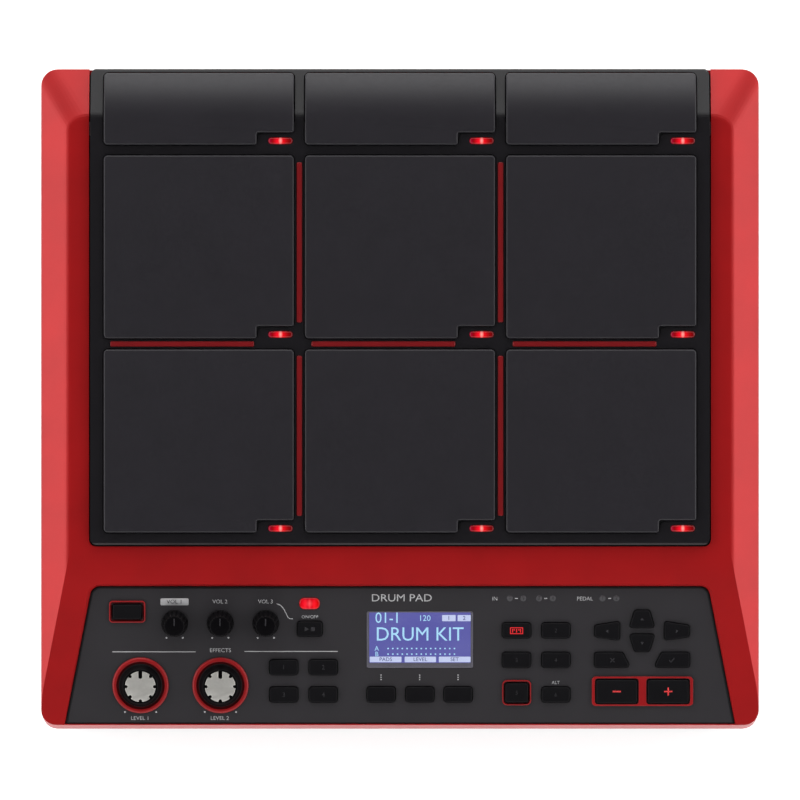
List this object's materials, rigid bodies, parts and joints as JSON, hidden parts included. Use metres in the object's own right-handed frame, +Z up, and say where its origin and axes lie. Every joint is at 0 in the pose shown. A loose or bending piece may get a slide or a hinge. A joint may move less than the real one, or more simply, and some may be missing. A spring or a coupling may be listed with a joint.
{
  "type": "electronic drum pad",
  "caption": "Wedge-shaped electronic percussion pad with a grid of rubber pads and a sloped control panel with display, knobs and buttons.",
  "frame": {"origin": "centre of the bounding box at table level, under the feet", "axes": "+X to the player's right, +Y away from the player, +Z up; the pads face +Z and the control panel is at -Y"},
  "size_m": [0.363, 0.33, 0.0939],
  "materials": {
    "case_red": "satin metallic red moulded plastic",
    "case_black": "fine textured black plastic",
    "rear_black": "satin black plastic",
    "frame_black": "fine matt black plastic",
    "accent_red": "satin red plastic strip",
    "lens_red": "translucent red lens",
    "panel_charcoal": "matt charcoal printed plastic",
    "display_window": "blue display window",
    "display_body": "display module",
    "trim_red": "satin red plastic trim",
    "pad_foam": "soft foam",
    "sensor_brass": "bare brass",
    "plate_steel": "zinc plated sheet",
    "board_green": "solder mask",
    "switch_grey": "moulded grey plastic",
    "socket_black": "moulded black plastic",
    "port_grey": "pressed metal shells",
    "foot_rubber": "matt black rubber",
    "screw_steel": "black zinc steel",
    "insert_brass": "turned brass",
    "pad_rubber": "matt dark grey rubber",
    "knob_black": "satin black plastic",
    "cap_silver": "spun brushed aluminium",
    "button_black": "satin black plastic"
  },
  "bodies": {
    "base": {"upper_case": "case_red", "bottom_case": "case_black", "rear_panel": "rear_black", "pad_frame": "frame_black", "accent_strips": "accent_red", "led_lenses": "lens_red", "control_panel": "panel_charcoal", "display_window": "display_window", "display_module": "display_body", "trim_frames": "trim_red", "pad_cushions": "pad_foam", "pad_sensors": "sensor_brass", "pad_base_plate": "plate_steel", "circuit_boards": "board_green", "panel_board": "board_green", "switches_and_pots": "switch_grey", "phone_sockets": "socket_black", "data_and_power_ports": "port_grey", "rubber_feet": "foot_rubber", "case_screws": "screw_steel", "mount_inserts": "insert_brass"},
    "pad_rear_left": {"pad_rear_left": "pad_rubber"},
    "pad_rear_centre": {"pad_rear_centre": "pad_rubber"},
    "pad_rear_right": {"pad_rear_right": "pad_rubber"},
    "pad_middle_left": {"pad_middle_left": "pad_rubber"},
    "pad_middle_centre": {"pad_middle_centre": "pad_rubber"},
    "pad_middle_right": {"pad_middle_right": "pad_rubber"},
    "pad_front_left": {"pad_front_left": "pad_rubber"},
    "pad_front_centre": {"pad_front_centre": "pad_rubber"},
    "pad_front_right": {"pad_front_right": "pad_rubber"},
    "master_volume_knob": {"master_volume_knob": "knob_black"},
    "phones_volume_knob": {"phones_volume_knob": "knob_black"},
    "click_volume_knob": {"click_volume_knob": "knob_black"},
    "control_knob_left": {"control_knob_left": "knob_black", "control_cap_left": "cap_silver"},
    "control_knob_right": {"control_knob_right": "knob_black", "control_cap_right": "cap_silver"},
    "power_button": {"power_button": "button_black"},
    "start_stop_button": {"start_stop_button": "button_black"},
    "effect_button_1": {"effect_button_1": "button_black"},
    "effect_button_2": {"effect_button_2": "button_black"},
    "effect_button_3": {"effect_button_3": "button_black"},
    "effect_button_4": {"effect_button_4": "button_black"},
    "soft_button_1": {"soft_button_1": "button_black"},
    "soft_button_2": {"soft_button_2": "button_black"},
    "soft_button_3": {"soft_button_3": "button_black"},
    "mode_button_1": {"mode_button_1": "button_black"},
    "mode_button_2": {"mode_button_2": "button_black"},
    "mode_button_3": {"mode_button_3": "button_black"},
    "mode_button_4": {"mode_button_4": "button_black"},
    "mode_button_5": {"mode_button_5": "button_black"},
    "mode_button_6": {"mode_button_6": "button_black"},
    "minus_button": {"minus_button": "button_black"},
    "plus_button": {"plus_button": "button_black"},
    "cursor_up_button": {"cursor_up_button": "button_black"},
    "cursor_down_button": {"cursor_down_button": "button_black"},
    "cursor_left_button": {"cursor_left_button": "button_black"},
    "cursor_right_button": {"cursor_right_button": "button_black"},
    "exit_button": {"exit_button": "button_black"},
    "enter_button": {"enter_button": "button_black"}
  },
  "joints": [
    {"name": "pad_rear_left_strike", "type": "slide", "parent": "base", "child": "pad_rear_left", "axis": [0, 0.0958, -0.9954], "range_m": [0, 0.0005], "stiffness_N_per_m": 8000, "springref_m": -0.0001},
    {"name": "pad_rear_centre_strike", "type": "slide", "parent": "base", "child": "pad_rear_centre", "axis": [0, 0.0958, -0.9954], "range_m": [0, 0.0005], "stiffness_N_per_m": 8000, "springref_m": -0.0001},
    {"name": "pad_rear_right_strike", "type": "slide", "parent": "base", "child": "pad_rear_right", "axis": [0, 0.0958, -0.9954], "range_m": [0, 0.0005], "stiffness_N_per_m": 8000, "springref_m": -0.0001},
    {"name": "pad_middle_left_strike", "type": "slide", "parent": "base", "child": "pad_middle_left", "axis": [0, 0.0958, -0.9954], "range_m": [0, 0.0005], "stiffness_N_per_m": 8000, "springref_m": -0.0001},
    {"name": "pad_middle_centre_strike", "type": "slide", "parent": "base", "child": "pad_middle_centre", "axis": [0, 0.0958, -0.9954], "range_m": [0, 0.0005], "stiffness_N_per_m": 8000, "springref_m": -0.0001},
    {"name": "pad_middle_right_strike", "type": "slide", "parent": "base", "child": "pad_middle_right", "axis": [0, 0.0958, -0.9954], "range_m": [0, 0.0005], "stiffness_N_per_m": 8000, "springref_m": -0.0001},
    {"name": "pad_front_left_strike", "type": "slide", "parent": "base", "child": "pad_front_left", "axis": [0, 0.0958, -0.9954], "range_m": [0, 0.0005], "stiffness_N_per_m": 8000, "springref_m": -0.0001},
    {"name": "pad_front_centre_strike", "type": "slide", "parent": "base", "child": "pad_front_centre", "axis": [0, 0.0958, -0.9954], "range_m": [0, 0.0005], "stiffness_N_per_m": 8000, "springref_m": -0.0001},
    {"name": "pad_front_right_strike", "type": "slide", "parent": "base", "child": "pad_front_right", "axis": [0, 0.0958, -0.9954], "range_m": [0, 0.0005], "stiffness_N_per_m": 8000, "springref_m": -0.0001},
    {"name": "master_volume_knob_turn", "type": "hinge", "parent": "base", "child": "master_volume_knob", "pos_m": [-0.1139, -0.1141, 0.05816], "axis": [0, -0.2164, 0.9763], "range_deg": [-150, 150]},
    {"name": "phones_volume_knob_turn", "type": "hinge", "parent": "base", "child": "phones_volume_knob", "pos_m": [-0.0908, -0.1141, 0.05816], "axis": [0, -0.2164, 0.9763], "range_deg": [-150, 150]},
    {"name": "click_volume_knob_turn", "type": "hinge", "parent": "base", "child": "click_volume_knob", "pos_m": [-0.0678, -0.1141, 0.05816], "axis": [0, -0.2164, 0.9763], "range_deg": [-150, 150]},
    {"name": "control_knob_left_turn", "type": "hinge", "parent": "base", "child": "control_knob_left", "pos_m": [-0.1312, -0.14514, 0.05128], "axis": [0, -0.2164, 0.9763], "range_deg": [-150, 150]},
    {"name": "control_knob_right_turn", "type": "hinge", "parent": "base", "child": "control_knob_right", "pos_m": [-0.0908, -0.14514, 0.05128], "axis": [0, -0.2164, 0.9763], "range_deg": [-150, 150]},
    {"name": "power_button_press", "type": "slide", "parent": "base", "child": "power_button", "axis": [0, 0.2164, -0.9763], "range_m": [0, 0.0006], "stiffness_N_per_m": 1500, "springref_m": -0.0002},
    {"name": "start_stop_button_press", "type": "slide", "parent": "base", "child": "start_stop_button", "axis": [0, 0.2164, -0.9763], "range_m": [0, 0.0006], "stiffness_N_per_m": 1500, "springref_m": -0.0002},
    {"name": "effect_button_1_press", "type": "slide", "parent": "base", "child": "effect_button_1", "axis": [0, 0.2164, -0.9763], "range_m": [0, 0.0006], "stiffness_N_per_m": 1500, "springref_m": -0.0002},
    {"name": "effect_button_2_press", "type": "slide", "parent": "base", "child": "effect_button_2", "axis": [0, 0.2164, -0.9763], "range_m": [0, 0.0006], "stiffness_N_per_m": 1500, "springref_m": -0.0002},
    {"name": "effect_button_3_press", "type": "slide", "parent": "base", "child": "effect_button_3", "axis": [0, 0.2164, -0.9763], "range_m": [0, 0.0006], "stiffness_N_per_m": 1500, "springref_m": -0.0002},
    {"name": "effect_button_4_press", "type": "slide", "parent": "base", "child": "effect_button_4", "axis": [0, 0.2164, -0.9763], "range_m": [0, 0.0006], "stiffness_N_per_m": 1500, "springref_m": -0.0002},
    {"name": "soft_button_1_press", "type": "slide", "parent": "base", "child": "soft_button_1", "axis": [0, 0.2164, -0.9763], "range_m": [0, 0.0006], "stiffness_N_per_m": 1500, "springref_m": -0.0002},
    {"name": "soft_button_2_press", "type": "slide", "parent": "base", "child": "soft_button_2", "axis": [0, 0.2164, -0.9763], "range_m": [0, 0.0006], "stiffness_N_per_m": 1500, "springref_m": -0.0002},
    {"name": "soft_button_3_press", "type": "slide", "parent": "base", "child": "soft_button_3", "axis": [0, 0.2164, -0.9763], "range_m": [0, 0.0006], "stiffness_N_per_m": 1500, "springref_m": -0.0002},
    {"name": "mode_button_1_press", "type": "slide", "parent": "base", "child": "mode_button_1", "axis": [0, 0.2164, -0.9763], "range_m": [0, 0.0006], "stiffness_N_per_m": 1500, "springref_m": -0.0002},
    {"name": "mode_button_2_press", "type": "slide", "parent": "base", "child": "mode_button_2", "axis": [0, 0.2164, -0.9763], "range_m": [0, 0.0006], "stiffness_N_per_m": 1500, "springref_m": -0.0002},
    {"name": "mode_button_3_press", "type": "slide", "parent": "base", "child": "mode_button_3", "axis": [0, 0.2164, -0.9763], "range_m": [0, 0.0006], "stiffness_N_per_m": 1500, "springref_m": -0.0002},
    {"name": "mode_button_4_press", "type": "slide", "parent": "base", "child": "mode_button_4", "axis": [0, 0.2164, -0.9763], "range_m": [0, 0.0006], "stiffness_N_per_m": 1500, "springref_m": -0.0002},
    {"name": "mode_button_5_press", "type": "slide", "parent": "base", "child": "mode_button_5", "axis": [0, 0.2164, -0.9763], "range_m": [0, 0.0006], "stiffness_N_per_m": 1500, "springref_m": -0.0002},
    {"name": "mode_button_6_press", "type": "slide", "parent": "base", "child": "mode_button_6", "axis": [0, 0.2164, -0.9763], "range_m": [0, 0.0006], "stiffness_N_per_m": 1500, "springref_m": -0.0002},
    {"name": "minus_button_press", "type": "slide", "parent": "base", "child": "minus_button", "axis": [0, 0.2164, -0.9763], "range_m": [0, 0.0006], "stiffness_N_per_m": 1500, "springref_m": -0.0002},
    {"name": "plus_button_press", "type": "slide", "parent": "base", "child": "plus_button", "axis": [0, 0.2164, -0.9763], "range_m": [0, 0.0006], "stiffness_N_per_m": 1500, "springref_m": -0.0002},
    {"name": "cursor_up_button_press", "type": "slide", "parent": "base", "child": "cursor_up_button", "axis": [0, 0.2164, -0.9763], "range_m": [0, 0.0006], "stiffness_N_per_m": 1500, "springref_m": -0.0002},
    {"name": "cursor_down_button_press", "type": "slide", "parent": "base", "child": "cursor_down_button", "axis": [0, 0.2164, -0.9763], "range_m": [0, 0.0006], "stiffness_N_per_m": 1500, "springref_m": -0.0002},
    {"name": "cursor_left_button_press", "type": "slide", "parent": "base", "child": "cursor_left_button", "axis": [0, 0.2164, -0.9763], "range_m": [0, 0.0006], "stiffness_N_per_m": 1500, "springref_m": -0.0002},
    {"name": "cursor_right_button_press", "type": "slide", "parent": "base", "child": "cursor_right_button", "axis": [0, 0.2164, -0.9763], "range_m": [0, 0.0006], "stiffness_N_per_m": 1500, "springref_m": -0.0002},
    {"name": "exit_button_press", "type": "slide", "parent": "base", "child": "exit_button", "axis": [0, 0.2164, -0.9763], "range_m": [0, 0.0006], "stiffness_N_per_m": 1500, "springref_m": -0.0002},
    {"name": "enter_button_press", "type": "slide", "parent": "base", "child": "enter_button", "axis": [0, 0.2164, -0.9763], "range_m": [0, 0.0006], "stiffness_N_per_m": 1500, "springref_m": -0.0002}
  ]
}
